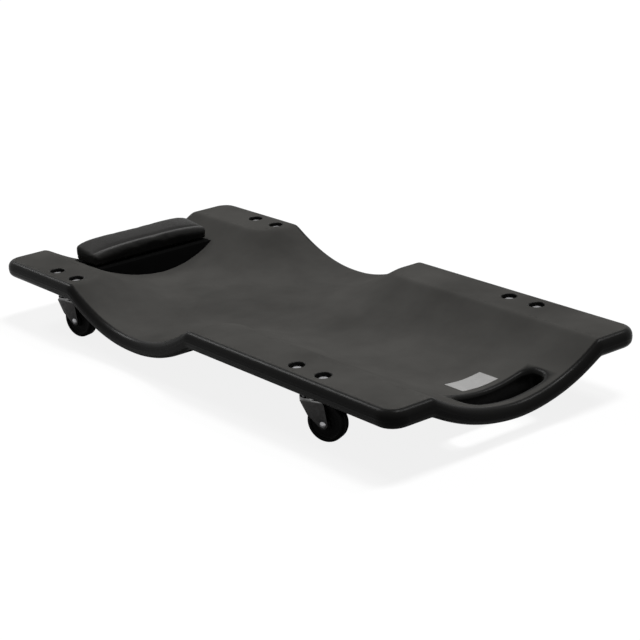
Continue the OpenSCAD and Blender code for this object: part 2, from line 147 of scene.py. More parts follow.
def addMath(tree, operation, a, b):
    return addNode(tree, "ShaderNodeMath", {0: a, 1: b}, operation=operation).outputs[0]


def addAttribute(tree, name):
    return addNode(tree, "ShaderNodeAttribute", {}, attribute_name=name).outputs["Fac"]


noiseMiddle = (0.3, 0.7)  # most of a noise's values lie here

deckFinish = {
    # smooth is the colour of a painted shade on rims, wells and the slot
    "dark": (0.055, 0.0537, 0.0508), "light": (0.079, 0.0772, 0.073), "smooth": (0.008, 0.0079, 0.0075),
    "specular": 0.0, "gloss": 0.038, "roughness": (0.35, 0.43), "polish": 0.1,
    "cloud": 9.0, "smear": 24.0, "peel": 160.0, "grain": 900.0,
    "peelBump": (0.12, 0.0006), "grainBump": (0.25, 0.0002),
}


def makeDeckPlastic(s):
    material, tree, shader, coords = newMaterial("deck_plastic")
    cloud = addRange(tree, addNoise(tree, coords, s["cloud"], 4, 0.55), *noiseMiddle, 0, 1)
    tone = addMix(tree, cloud, s["dark"], s["light"])
    # Rims, wells and the slot are smooth and a little glossy, and get a painted shade, a colour far darker than
    # the open faces; open faces grained and dull
    smooth = addAttribute(tree, "smooth")
    dull = addRange(tree, addNoise(tree, coords, s["smear"], 3, 0.6), *noiseMiddle, *s["roughness"])
    polish = addRange(tree, smooth, 0, 1, 0, s["polish"])
    setInputs(tree, shader, {
        "Base Color": addMix(tree, smooth, tone, s["smooth"]),
        "Specular IOR Level": addRange(tree, smooth, 0, 1, s["specular"], s["gloss"]),
        "Roughness": addMath(tree, "SUBTRACT", dull, polish),
    })
    peel = addBump(tree, shader, addNoise(tree, coords, s["peel"], 2, 0.5), *s["peelBump"])
    addBump(tree, shader, addNoise(tree, coords, s["grain"], 2, 0.5), *s["grainBump"], peel)
    return material


plainFinishes = {
    "base_plastic": {"color": (0.0022, 0.0022, 0.0022), "specular": 0.004, "roughness": 0.7, "grain": 700},
    "wheel_rubber": {"color": (0.004, 0.004, 0.004), "specular": 0.06, "roughness": 0.55, "grain": 500},
}
plainCloud = {"scale": 40, "lighter": 1.5, "lift": 0.001, "spread": 0.06, "bump": (0.2, 0.0002)}


def makePlainPlastic(slot, s, cloudSet):
    material, tree, shader, coords = newMaterial(slot)
    lighter = tuple(c * cloudSet["lighter"] + cloudSet["lift"] for c in s["color"])
    cloud = addNoise(tree, coords, cloudSet["scale"], 3)
    low, high = s["roughness"] - cloudSet["spread"], s["roughness"] + cloudSet["spread"]
    setInputs(tree, shader, {
        "Base Color": addMix(tree, cloud, s["color"], lighter), "Specular IOR Level": s["specular"],
        "Roughness": addRange(tree, cloud, *noiseMiddle, low, high),
    })
    addBump(tree, shader, addNoise(tree, coords, s["grain"], 2), *cloudSet["bump"])
    return material


vinylFinish = {
    "color": (0.031, 0.0304, 0.0296), "lighter": 1.35, "wear": 18, "wearFrom": 0.35, "wearTo": 0.7,
    "specular": 0.015, "gloss": 0.2, "roughness": (0.34, 0.46), "cells": 650, "crease": 0.12,
    "soft": 90, "softBump": (0.25, 0.0008), "grainBump": (0.3, 0.00025),
}


def makeVinyl(s):
    material, tree, shader, coords = newMaterial("cushion_vinyl")
    cells = addNode(tree, "ShaderNodeTexVoronoi", {"Vector": coords, "Scale": s["cells"]},
                    feature="DISTANCE_TO_EDGE")
    grain = addRange(tree, cells.outputs[0], 0.0, s["crease"], 0, 1)
    # On the cushion this noise gives lighter patches of real wear only
    wear = addNoise(tree, coords, s["wear"], 4)
    wornAndPaintedHighlight = addRange(tree, wear, s["wearFrom"], s["wearTo"], 0, 1)
    lighter = tuple(c * s["lighter"] for c in s["color"])
    setInputs(tree, shader, {
        "Base Color": addMix(tree, wornAndPaintedHighlight, s["color"], lighter),
        "Specular IOR Level": addRange(tree, addAttribute(tree, "smooth"), 0, 1, s["specular"], s["gloss"]),
        "Roughness": addRange(tree, wear, *noiseMiddle, *s["roughness"]),
    })
    soft = addBump(tree, shader, addNoise(tree, coords, s["soft"], 2), *s["softBump"])
    addBump(tree, shader, grain, *s["grainBump"], soft)
    return material


metalFinishes = {
    "fork_steel": {"color": (0.03, 0.029, 0.029), "roughness": 0.42, "metallic": 0.85},
    "plate_steel": {"color": (0.02, 0.02, 0.02), "roughness": 0.45, "metallic": 0.3},
    "ball_steel": {"color": (0.09, 0.09, 0.092), "roughness": 0.25, "metallic": 1.0},
    "bright_steel": {"color": (0.36, 0.36, 0.37), "roughness": 0.32, "metallic": 1.0},
}
metalGrain = {
    "spots": 260, "spotsFrom": 0.35, "spotsTo": 0.65, "darker": 0.76, "smoother": 0.05, "rougher": 0.08,
    "brush": 900, "brushStretch": (1, 1, 0.15), "brushBump": (0.12, 0.0001),
}
# A painted highlight for the fork's upper edges and bends: a light grey, in patches
forkPaintedHighlight = {"color": (0.34, 0.34, 0.34), "patch": 120, "patchFrom": 0.35, "patchTo": 0.55, "least": 0.45}


def makeMetal(slot, s, grain, wornAndPaintedHighlight):
    material, tree, shader, coords = newMaterial(slot)
    spots = addNoise(tree, coords, grain["spots"], 3)
    darker = tuple(c * grain["darker"] for c in s["color"])
    tone = addMix(tree, addRange(tree, spots, grain["spotsFrom"], grain["spotsTo"], 0, 1), s["color"], darker)
    # A painted highlight where the attribute marks it, broken into patches by noise
    if wornAndPaintedHighlight:
        patch = addNoise(tree, coords, wornAndPaintedHighlight["patch"], 3)
        patch = addRange(tree, patch, wornAndPaintedHighlight["patchFrom"], wornAndPaintedHighlight["patchTo"], wornAndPaintedHighlight["least"], 1)
        tone = addMix(tree, addMath(tree, "MULTIPLY", addAttribute(tree, "wear"), patch), tone, wornAndPaintedHighlight["color"])
    low, high = s["roughness"] - grain["smoother"], s["roughness"] + grain["rougher"]
    setInputs(tree, shader, {
        "Base Color": tone, "Metallic": s["metallic"],
        "Roughness": addRange(tree, spots, *noiseMiddle, low, high),
    })
    brushed = addNoise(tree, coords, grain["brush"], 2, 0.5, grain["brushStretch"])
    addBump(tree, shader, brushed, *grain["brushBump"])
    return material


labelFinish = {
    "grey": (0.375, 0.37, 0.365), "speckle": (0.3, 0.3, 0.295), "roughness": 0.55, "specular": 0.1,
    "specks": 700, "specksFrom": 0.5, "specksTo": 0.68, "cloud": 60, "cloudShare": 0.5, "bump": (0.1, 0.0001),
}


def makeLabelPaper(s):
    material, tree, shader, coords = newMaterial("label_paper")
    specks = addRange(tree, addNoise(tree, coords, s["specks"], 4, 0.7), s["specksFrom"], s["specksTo"], 0, 1)
    cloud = addRange(tree, addNoise(tree, coords, s["cloud"], 3), *noiseMiddle, 0, s["cloudShare"])
    base = addMix(tree, cloud, s["grey"], s["speckle"])
    setInputs(tree, shader, {
        "Base Color": addMix(tree, specks, base, s["speckle"]),
        "Roughness": s["roughness"], "Specular IOR Level": s["specular"],
    })
    addBump(tree, shader, specks, *s["bump"])
    return material


finishes = {"deck_plastic": makeDeckPlastic(deckFinish), "cushion_vinyl": makeVinyl(vinylFinish)}
for slot, finish in plainFinishes.items():
    finishes[slot] = makePlainPlastic(slot, finish, plainCloud)
for slot, finish in metalFinishes.items():
    finishes[slot] = makeMetal(slot, finish, metalGrain, forkPaintedHighlight if slot == "fork_steel" else None)
for part in frame["record"]["subparts"]:
    mesh = nodes[part["node"]].data
    mesh.materials.clear()
    mesh.materials.append(finishes[part["material_slot"]])
print("materials made:", len(finishes))


def newPiece(name, mesh, body, slot, smooth=True):
    piece = newObject(name, mesh)
    mesh.materials.clear()
    mesh.materials.append(finishes[slot])
    for face in mesh.polygons:
        face.use_smooth = smooth
    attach(piece, body)
    return piece


# A closed mesh with its faces turned outwards
def closedMesh(name, points, faces):
    mesh = bpy.data.meshes.new(name)
    mesh.from_pydata(points, [], faces)
    bm = bmesh.new()
    bm.from_mesh(mesh)
    bmesh.ops.recalc_face_normals(bm, faces=bm.faces)
    bm.to_mesh(mesh)
    bm.free()
    return mesh


# The deck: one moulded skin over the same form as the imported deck
deckSet = {
    "thick": 25.0, "troughThick": 22.0, "edge": 10.0, "corner": 26.0,
    "troughDepth": 44.0, "flatWide": 69.0, "wingLong": 192.0, "stripLong": 418.0,
    "crestSoft": 4.0, "startSoft": 7.0, "headSoft": 13.0, "headSoftLong": 26.0, "stripCorner": 32.0,
    "casterInset": 28.3, "headCaster": 142.3, "footCaster": 186.6, "boltPitch": 53.0,
    "wellRadius": 10.4, "wellDepth": 8.0, "wellLip": 2.0, "wellFloorLip": 1.2, "wellFlat": 0.8,
    "wellWindow": 16.0, "dullRings": 3, "draft": 0.1,
    "slotWide": 35.0, "slotLong": 134.0, "slotCorner": 14.0, "gripWide": 25.0,
    "slotLip": 6.0, "slotRimWide": 8.0, "slotRimDeep": 7.5, "slotRimShallow": 1.5, "slotWindow": 9.0,
    "recessLong": 96.0, "recessWide": 22.0, "recessDeep": 6.0, "recessPitch": 132.0,
    "recessRow": 64.0, "recessLip": 1.2, "recessWindow": 4.0, "middleRecesses": 5, "sideRecesses": 3,
    "fine": 3.2, "medium": 5.0, "coarse": 8.0, "crest": 2.5, "crestBand": 9.0, "arcSteps": 6,
    "wingLead": 8.0, "stripLead": 12.0, "cornerSlack": 0.03,
    "partingLift": 0.2, "parting": ((0.9, 0), (0.35, 1), (-0.35, 1), (-0.9, 0)),
}


class DeckForm:
    def __init__(self, s, long, wide, top):
        self.s = s
        self.long, self.wide, self.top = long, wide, top
        self.under = top - s["thick"]
        half, depth = wide / 2 - s["flatWide"], s["troughDepth"]
        radius = (half * half + depth * depth) / (2 * depth)
        self.troughHalf = half
        self.topArc = (half, radius, depth)
        outer, deeper = radius + s["troughThick"], depth + s["troughThick"] - s["thick"]
        self.underArc = (sqrt(2 * outer * deeper - deeper * deeper), outer, deeper)
        self.underShift = self.underArc[0] - half
        self.casterY = wide / 2 - s["casterInset"]
        self.wingRadius = self.casterY - half
        self.wingX = -long / 2 + s["wingLong"] - self.wingRadius
        self.stripX = long / 2 - s["stripLong"]
        self.cornerX = long / 2 - s["corner"]
        self.innerCorner = s["corner"] - s["edge"]
        self.innerHalf = wide / 2 - s["edge"]
        self.casterX = [-long / 2 + s["headCaster"], long / 2 - s["footCaster"]]
        self.slotX = long / 2 - s["gripWide"] - s["slotWide"] / 2
        recessX = long / 2 - s["gripWide"] - s["slotWide"] - s["recessPitch"] / 2
        self.recesses = [(recessX - k * s["recessPitch"], 0) for k in range(s["middleRecesses"])]
        self.recesses += [(recessX - k * s["recessPitch"], side * s["recessRow"])
                          for k in range(s["sideRecesses"]) for side in (-1, 1)]

    def eased(self, d, soft):
        return 0 if d <= 0 else sqrt(d * d + soft * soft) - soft

    def arcFall(self, d, arc):
        half, radius, depth = arc
        rest = half - min(max(d, 0), half)
        return depth - radius + sqrt(radius * radius - rest * rest)

    def wingReach(self, x, y):
        return hypot(max(x - self.wingX, 0), abs(y) - self.casterY) - self.wingRadius

    def stripReach(self, x, y):
        corner = self.s["stripCorner"]
        qx, qy = self.stripX + corner - x, self.troughHalf + corner - abs(y)
        reach = hypot(max(qx, 0), max(qy, 0)) + min(max(qx, qy), 0) - corner
        along = qx * qx / (qx * qx + max(qy, 0) ** 2) if qx > 0 else 0
        return reach, self.s["crestSoft"] + (self.s["startSoft"] - self.s["crestSoft"]) * along

    def topAt(self, x, y):
        reach, soft = self.stripReach(x, y)
        share = max(1 - (x + self.long / 2) / self.s["headSoftLong"], 0) ** 2
        wingSoft = self.s["crestSoft"] + (self.s["headSoft"] - self.s["crestSoft"]) * share
        wing = self.arcFall(self.eased(self.wingReach(x, y), wingSoft), self.topArc)
        return self.top - min(wing, self.arcFall(self.eased(reach, soft), self.topArc))

    def underAt(self, x, y):
        falls = [self.arcFall(self.eased(reach + self.underShift, self.s["crestSoft"]), self.underArc)
                 for reach in (self.wingReach(x, y), self.stripReach(x, y)[0])]
        return self.under - min(falls)

    def halfWideAt(self, x):
        if abs(x) <= self.cornerX:
            return self.innerHalf
        past = abs(x) - self.cornerX
        return self.wide / 2 - self.s["corner"] + sqrt(max(self.innerCorner ** 2 - past ** 2, 0))

    def outward(self, x, y):
        if abs(x) <= self.cornerX:
            return 0, copysign(1, y)
        flat = self.wide / 2 - self.s["corner"]
        if abs(y) <= flat + self.s["cornerSlack"]:
            return copysign(1, x), 0
        vx, vy = abs(x) - self.cornerX, abs(y) - flat
        length = hypot(vx, vy)
        return copysign(vx / length, x), copysign(vy / length, y)


def spacedLines(breaks):
    lines = []
    for (a, spacing), (b, _) in zip(breaks, breaks[1:]):
        count = max(1, round((b - a) / spacing))
        lines += [a + (b - a) * k / count for k in range(count)]
    return lines + [breaks[-1][0]]


def quarterTurns(steps):
    return [radians(90 * k / steps) for k in range(steps + 1)]


def deckLines(form):
    s = form.s
    arcs = [form.innerCorner * sin(t) for t in quarterTurns(s["arcSteps"])[1:]]
    breaks = [(-form.cornerX, s["coarse"])]
    for k, x in enumerate(form.casterX):
        if k == 1:
            breaks += [(form.wingX - s["wingLead"], s["medium"]), (form.stripX - s["stripLead"], s["fine"]),
                       (form.stripX + s["stripCorner"], s["coarse"])]
        for side in (-1, 1):
            centre = x + side * s["boltPitch"] / 2
            breaks += [(centre - s["wellWindow"], s["fine"]), (centre + s["wellWindow"], s["medium"])]
    breaks.append((form.slotX - s["slotWide"] / 2 - s["slotWindow"], s["medium"]))
    breaks = sorted(b for b in breaks if b[0] < form.cornerX) + [(form.cornerX, 1)]
    stations = [-form.cornerX - a for a in reversed(arcs)] + spacedLines(breaks)
    stations += [form.cornerX + a for a in arcs]
    half = spacedLines([
        (0, s["medium"]), (s["slotLong"] / 2 + s["slotWindow"], s["medium"]),
        (form.troughHalf - s["crestBand"], s["crest"]), (form.troughHalf + s["crestBand"], s["medium"]),
        (form.casterY - s["wellWindow"], s["fine"]), (form.casterY + s["wellWindow"], s["fine"]),
        (form.innerHalf, 1),
    ])
    rows = [-y for y in reversed(half[1:])] + half
    return stations, rows


# The nearest point of a round-cornered outline, and its way out
def nearestOnOutline(place, size, corner, x, y):
    px, py = x - place[0], y - place[1]
    cx = max(corner - size[0] / 2, min(size[0] / 2 - corner, px))
    cy = max(corner - size[1] / 2, min(size[1] / 2 - corner, py))
    vx, vy = px - cx, py - cy
    length = hypot(vx, vy)
    nx, ny = vx / length, vy / length
    return place[0] + cx + nx * corner, place[1] + cy + ny * corner, nx, ny


def buildDeck(form):
    s = form.s
    stations, rows = deckLines(form)
    kept = form.troughHalf + s["crestBand"]
    ni, nj = len(stations), len(rows)
    points, faces = [], []

    def add(x, y, z):
        points.append((x * mm, y * mm, z * mm))
        return len(points) - 1

    def plan(i, j):
        x, y = stations[i], rows[j]
        if abs(y) <= kept:
            return x, y
        share = (form.halfWideAt(x) - kept) / (form.innerHalf - kept)
        return x, copysign(kept + (abs(y) - kept) * share, y)

    top = [[add(*plan(i, j), form.topAt(*plan(i, j))) for j in range(nj)] for i in range(ni)]
    under = [[add(*plan(i, j), form.underAt(*plan(i, j))) for j in range(nj)] for i in range(ni)]

    def nearest(values, v):
        return min(range(len(values)), key=lambda k: abs(values[k] - v))

    def window(cx, cy, reachX, reachY):
        return (nearest(stations, cx - reachX), nearest(stations, cx + reachX),
                nearest(rows, cy - reachY), nearest(rows, cy + reachY))

    w = s["wellWindow"]
    wellPlaces = [(x + a * s["boltPitch"] / 2, b * form.casterY)
                  for x in form.casterX for a in (-1, 1) for b in (-1, 1)]
    wells = [window(x, y, w, w) for x, y in wellPlaces]
    slot = window(form.slotX, 0, s["slotWide"] / 2 + s["slotWindow"], s["slotLong"] / 2 + s["slotWindow"])
    pockets = [window(x, y, s["recessLong"] / 2 + s["recessWindow"], s["recessWide"] / 2 + s["recessWindow"])
               for x, y in form.recesses]

    def outside(i, j, boxes):
        return not any(b[0] <= i < b[1] and b[2] <= j < b[3] for b in boxes)

    for i in range(ni - 1):
        for j in range(nj - 1):
            if outside(i, j, wells + [slot]):
                faces.append((top[i][j], top[i + 1][j], top[i + 1][j + 1], top[i][j + 1]))
            if outside(i, j, pockets + [slot]):
                faces.append((under[i][j], under[i][j + 1], under[i + 1][j + 1], under[i + 1][j]))

    def border(box):
        i0, i1, j0, j1 = box
        loop = [(i, j0) for i in range(i0, i1)] + [(i1, j) for j in range(j0, j1)]
        return loop + [(i, j1) for i in range(i1, i0, -1)] + [(i0, j) for j in range(j1, j0, -1)]

    def bridge(last, ring, flip=False):
        a, b = (ring, last) if flip else (last, ring)
        for k in range(len(a)):
            n = (k + 1) % len(a)
            faces.append((a[k], a[n], b[n], b[k]))
        return ring

    # Rim: a quarter round, a fine parting bead, and a quarter round again
    turns = quarterTurns(s["arcSteps"])
    quarter = [(s["edge"] * sin(t), s["edge"] * (1 - cos(t))) for t in turns[1:]]
    steps = [(reach, "top", drop) for reach, drop in quarter]
    steps += [(s["edge"] + lift * s["partingLift"], "middle", rise) for rise, lift in s["parting"]]
    steps += [(reach, "under", rise) for reach, rise in reversed(quarter)]
    around = border((0, ni - 1, 0, nj - 1))
    last = [top[i][j] for i, j in around]
    for reach, level, offset in steps:
        ring = []
        for i, j in around:
            x, y = plan(i, j)
            nx, ny = form.outward(x, y)
            high, low = form.topAt(x, y), form.underAt(x, y)
            height = {"top": high - offset, "middle": (high + low) / 2 + offset, "under": low + offset}[level]
            ring.append(add(x + nx * reach, y + ny * reach, height))
        last = bridge(last, ring, True)
    bridge(last, [under[i][j] for i, j in around], True)

    # A quarter round: how far out and how far down it is, from its outer end
    def lipArc(lip):
        return [(lip * (1 - sin(t)), lip * (1 - cos(t))) for t in turns]

    # The runs of points that get the smooth look: a little gloss and a painted shade
    shadeAndGlossParts = [(2 * ni * nj, len(points))]

    # Bolt wells: rings from a square window of the grid to a round, lipped well
    radius, depth = s["wellRadius"], s["wellDepth"]
    shape = [(radius + s["wellLip"] + s["wellFlat"], 0)]
    shape += [(radius + out, down) for out, down in lipArc(s["wellLip"])]
    shape += [(radius - s["draft"] - inward, depth - up) for up, inward in lipArc(s["wellFloorLip"])]
    shape.append((radius / 2, depth))
    for (cx, cy), box in zip(wellPlaces, wells):
        loop = border(box)
        last = [top[i][j] for i, j in loop]
        angles = [atan2(rows[j] - cy, stations[i] - cx) for i, j in loop]
        for reach, drop in shape:
            ring = [add(cx + reach * cos(a), cy + reach * sin(a), form.top - drop) for a in angles]
            last = bridge(last, ring)
        # The inner rings of a well get the painted shade and the gloss
        shadeAndGlossParts.append((len(points) - (len(shape) - s["dullRings"]) * len(loop), len(points)))
        faces.append(tuple(last))

    # A ring round an outline, at an offset and a height
    def outlineRing(spots, offset, height):
        ring = []
        for px, py, nx, ny in spots:
            x, y = px + nx * offset, py + ny * offset
            ring.append(add(x, y, height(x, y)))
        return ring

    # Hand-hold slot: the top skin goes round a soft lip and through to the underside
    loop = border(slot)
    size = (s["slotWide"], s["slotLong"])
    place = (form.slotX, 0)
    spots = [nearestOnOutline(place, size, s["slotCorner"], stations[i], rows[j]) for i, j in loop]
    last = [top[i][j] for i, j in loop]
    first = len(points)
    for out, down in lipArc(s["slotLip"]):
        ring = outlineRing(spots, out, lambda x, y: form.topAt(x, y) - down)
        last = bridge(last, ring)

    # Below it hangs a rolled rim, deeper on the side of the head
    def rimDeep(x):
        share = (form.slotX + s["slotWide"] / 2 - x) / s["slotWide"]
        return s["slotRimShallow"] + (s["slotRimDeep"] - s["slotRimShallow"]) * min(max(share, 0), 1)

    for k in range(2 * s["arcSteps"] + 1):
        t = pi * k / (2 * s["arcSteps"])
        offset = s["slotRimWide"] / 2 * (1 - cos(t))
        ring = outlineRing(spots, offset, lambda x, y: form.underAt(x, y) - rimDeep(x) * sin(t))
        last = bridge(last, ring)
    # The slot's lip and hanging rim get the painted shade and the gloss
    shadeAndGlossParts.append((first, len(points)))
    bridge(last, [under[i][j] for i, j in loop])

    # Stiffening recesses in the underside, with soft mouths and round floor edges
    size = (s["recessLong"], s["recessWide"])
    for place, box in zip(form.recesses, pockets):
        loop = border(box)
        floorZ = form.underAt(*place) + s["recessDeep"]
        spots = [nearestOnOutline(place, size, s["recessWide"] / 2, stations[i], rows[j]) for i, j in loop]
        last = [under[i][j] for i, j in loop]
        for out, up in lipArc(s["recessLip"]):
            ring = outlineRing(spots, out, lambda x, y: form.underAt(x, y) + up)
            last = bridge(last, ring, True)
        for down, inward in lipArc(s["recessLip"]):
            ring = outlineRing(spots, -s["draft"] - inward, lambda x, y: floorZ - down)
            last = bridge(last, ring, True)
        faces.append(tuple(reversed(last)))
    mesh = closedMesh("deckShell", points, faces)
    # The attribute smooth carries the painted shade and the gloss to the deck's finish
    values = [0.0] * len(points)
    for start, end in shadeAndGlossParts:
        values[start:end] = [1.0] * (end - start)
    mesh.attributes.new("smooth", "FLOAT", "POINT").data.foreach_set("value", values)
    return mesh


lowDeck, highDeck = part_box("deck")
deckForm = DeckForm(deckSet, (highDeck.x - lowDeck.x) / mm, (highDeck.y - lowDeck.y) / mm, highDeck.z / mm)
deckShell = newPiece("deckShell", buildDeck(deckForm), "creeper", "deck_plastic")
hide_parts("deck")
print("deck made:", len(deckShell.data.polygons), "faces")


# The blank label: a thin plate that follows the trough beside the hand-hold
labelSet = {"x": (343, 377), "y": (-30, 30), "thick": 0.35, "seat": 0.02, "steps": (8, 16)}


def buildLabel(form, s):
    nx, ny = s["steps"]
    points, faces = [], []
    for k, lift in enumerate((s["seat"], s["thick"])):
        for i in range(nx + 1):
            for j in range(ny + 1):
                x = s["x"][0] + (s["x"][1] - s["x"][0]) * i / nx
                y = s["y"][0] + (s["y"][1] - s["y"][0]) * j / ny
                points.append((x * mm, y * mm, (form.topAt(x, y) + lift) * mm))

    def at(i, j, k):
        return (k * (nx + 1) + i) * (ny + 1) + j

    for k in (0, 1):
        faces += [(at(i, j, k), at(i + 1, j, k), at(i + 1, j + 1, k), at(i, j + 1, k))
                  for i in range(nx) for j in range(ny)]
    edge = [(i, 0) for i in range(nx)] + [(nx, j) for j in range(ny)]
    edge += [(i, ny) for i in range(nx, 0, -1)] + [(0, j) for j in range(ny, 0, -1)]
    faces += [(at(*p, 0), at(*q, 0), at(*q, 1), at(*p, 1)) for p, q in zip(edge, edge[1:] + edge[:1])]
    return closedMesh("blankLabel", points, faces)


finishes["label_grey"] = makeLabelPaper(labelFinish)
label = newPiece("blankLabel", buildLabel(deckForm, labelSet), "creeper", "label_grey", smooth=False)
print("label made")


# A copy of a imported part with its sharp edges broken
edgeSet = {"merge": 0.005, "flat": 0.5, "sharp": 35, "smooth": 40}


def roundedCopy(node, name, body, slot, width, segments=2):
    flat, sharp, smooth = (radians(edgeSet[k]) for k in ("flat", "sharp", "smooth"))
    mesh = nodes[node].data.copy()
    mesh.name = name
    bm = bmesh.new()
    bm.from_mesh(mesh)
    bmesh.ops.remove_doubles(bm, verts=bm.verts, dist=edgeSet["merge"] * mm)
    bmesh.ops.dissolve_limit(bm, angle_limit=flat, verts=bm.verts, edges=bm.edges)
    edges = [e for e in bm.edges if len(e.link_faces) == 2 and e.calc_face_angle(0) > sharp]
    bmesh.ops.bevel(bm, geom=edges, offset=width * mm, offset_type="OFFSET", segments=segments,
                    profile=0.5, affect="EDGES", clamp_overlap=True)
    bm.to_mesh(mesh)
    bm.free()
    piece = newPiece(name, mesh, body, slot)
    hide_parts(node)
    mesh.set_sharp_from_angle(angle=smooth)
    return piece


# Headrest: a black base, and a cushion blown up a little by cloth simulation
roundedCopy("headrest_base", "headrestBase", "creeper", "base_plastic", 1.0, 3)

cushionSet = {
    "low": 17.5, "rise": 6.0, "bow": 7.0, "crown": 2.0, "draw": 0.12, "droop": 0.06,
    "frontBow": 2.0, "backBow": 8.0, "endPower": 11.0, "sidePower": 7.0, "footPower": 16.0,
    "rings": 80, "sides": 96, "finer": 40, "start": 0.3, "voxel": 2.4,
    "pressure": 4.0, "frames": 20, "swell": 1.6, "quality": 6, "mass": 0.3, "stretch": 12.0, "bend": 1.2,
    "smoothing": 5, "smoothShare": 0.5, "longer": (1.2, 2.4), "taller": 0.9,
    "rollWide": 6.0, "rollHigh": 1.7, "rollBack": 3.5, "rollBow": 3.5, "endFade": 8,
    "grooveWide": 3.2, "grooveDeep": 2.0, "grooveBack": 8.5,
    "seamHigh": 7.5, "seamWide": 1.6, "seamDeep": 0.7,
    "gatherDeep": 0.5, "gatherTurns": 46, "gatherUp": 3.5, "gatherWide": 3.0,
}


# A rounded square from -1 to 1, squarer below, with evenly spaced points for its real size
def evenSection(power, lowPower, count, finer, halfWide, halfHigh):
    dense = []
    for k in range(finer * count + 1):
        turn = 2 * pi * k / (finer * count)
        c, v = cos(turn), sin(turn)
        share = 2 / (power if v >= 0 else lowPower)
        dense.append((copysign(abs(c) ** share, c), copysign(abs(v) ** share, v)))
    lengths = [0]
    for a, b in zip(dense, dense[1:]):
        lengths.append(lengths[-1] + hypot((b[0] - a[0]) * halfWide, (b[1] - a[1]) * halfHigh))
    section, k = [], 0
    for number in range(count):
        reached = lengths[-1] * number / count
        while lengths[k + 1] < reached:
            k += 1
        span = (reached - lengths[k]) / (lengths[k + 1] - lengths[k])
        section.append(tuple(dense[k][n] + (dense[k + 1][n] - dense[k][n]) * span for n in (0, 1)))
    return section


# The cushion's form, as packed, drawn in by a margin all round
def cushionLoft(s, low, high, margin):
    long, wide = (high.y - low.y) / mm, (high.x - low.x) / mm
    middle, base = (high.x + low.x) / 2 / mm, low.z / mm
    points, faces = [], []

    section = evenSection(s["sidePower"], s["footPower"], s["sides"], s["finer"], wide / 2, s["low"])
    for i in range(s["rings"] + 1):
        along = -cos(pi * i / s["rings"])
        closing = max(1 - abs(along) ** s["endPower"], 0) ** (1 / s["endPower"])
        for t, v in section:
            half = (wide / 2 - margin) * (1 - s["draw"] * (1 - closing))
            bowPower = (s["frontBow"] + s["backBow"] + (s["frontBow"] - s["backBow"]) * t) / 2
            rise = s["low"] + s["rise"] * (1 - t) / 2 + s["bow"] * (1 - abs(along) ** bowPower)
            rise = (rise + s["crown"] * (1 - t * t) * (1 - along ** 2)) * (1 - s["droop"] * (1 - closing))
            points.append(((middle + half * t) * mm, along * (long / 2 - margin) * mm,
                           (base + margin + (rise - 2 * margin) * (1 + v) / 2) * mm))
    n = s["sides"]
    for i in range(s["rings"]):
        for k in range(n):
            m = (k + 1) % n
            faces.append((i * n + k, (i + 1) * n + k, (i + 1) * n + m, i * n + m))
    faces += [tuple(range(n)), tuple(s["rings"] * n + k for k in range(n))]
    return closedMesh("cushionLoft", points, faces)


def evaluatedMesh(piece):
    return bpy.data.meshes.new_from_object(piece.evaluated_get(bpy.context.evaluated_depsgraph_get()))


def withModifier(piece, kind, **settings):
    modifier = piece.modifiers.new(kind.lower(), kind)
    for name, value in settings.items():
        setattr(modifier, name, value)
    mesh = evaluatedMesh(piece)
    piece.modifiers.clear()
    piece.data = mesh


# Cloth under a little pressure, no point moved by more than the swell
def blownUp(piece, s):
    start = [v.co.copy() for v in piece.data.vertices]
    modifier = piece.modifiers.new("cloth", "CLOTH")
    cloth = modifier.settings
    cloth.quality = s["quality"]
    cloth.mass = s["mass"]
    cloth.tension_stiffness = cloth.compression_stiffness = cloth.shear_stiffness = s["stretch"]
    cloth.bending_stiffness = s["bend"]
    cloth.use_pressure = True
    cloth.uniform_pressure_force = s["pressure"]
    cloth.effector_weights.gravity = 0
    modifier.point_cache.frame_start, modifier.point_cache.frame_end = 1, s["frames"]
    for number in range(1, s["frames"] + 1):
        scene.frame_set(number)
    mesh = evaluatedMesh(piece)
    piece.modifiers.clear()
    scene.frame_set(1)
    for vertex, before in zip(mesh.vertices, start):
        moved = vertex.co - before
        if moved.length > s["swell"] * mm:
            vertex.co = before + moved.normalized() * s["swell"] * mm
    piece.data = mesh


def bell(d, wide):
    return exp(-(d / wide) ** 2)


# A roll along the front edge, a groove behind it, a sewn line and gathers round the sides
def dressCushion(mesh, s, low, high):
    front = high.x / mm
    smooth = mesh.attributes.new("smooth", "FLOAT", "POINT")
    for vertex, normal in [(v, v.normal.copy()) for v in mesh.vertices]:
        x, y, z = (c / mm for c in vertex.co)
        along = y / (high.y / mm)
        up = max(normal.z, 0)
        ends = max(1 - abs(along) ** s["endFade"], 0)
        fromFront = front - s["rollBow"] * along * along - x
        roll = bell(fromFront - s["rollBack"], s["rollWide"] / 2) * up * ends
        smooth.data[vertex.index].value = roll
        lift = s["rollHigh"] * roll
        lift -= s["grooveDeep"] * bell(fromFront - s["grooveBack"], s["grooveWide"]) * up * ends
        side = 1 - abs(normal.z)
        seam = z - low.z / mm - s["seamHigh"]
        lift -= s["seamDeep"] * bell(seam, s["seamWide"]) * side
        ripple = max(sin(along * s["gatherTurns"] * pi), 0)
        lift -= s["gatherDeep"] * ripple * bell(seam - s["gatherUp"], s["gatherWide"]) * side * ends
        vertex.co = vertex.co + normal * lift * mm


# Fits the blown form to a box
def fittedToBox(mesh, low, high):
    for axis in range(3):
        places = [v.co[axis] for v in mesh.vertices]
        least, most = min(places), max(places)
        scale = (high[axis] - low[axis]) / (most - least)
        for vertex in mesh.vertices:
            vertex.co[axis] = low[axis] + (vertex.co[axis] - least) * scale


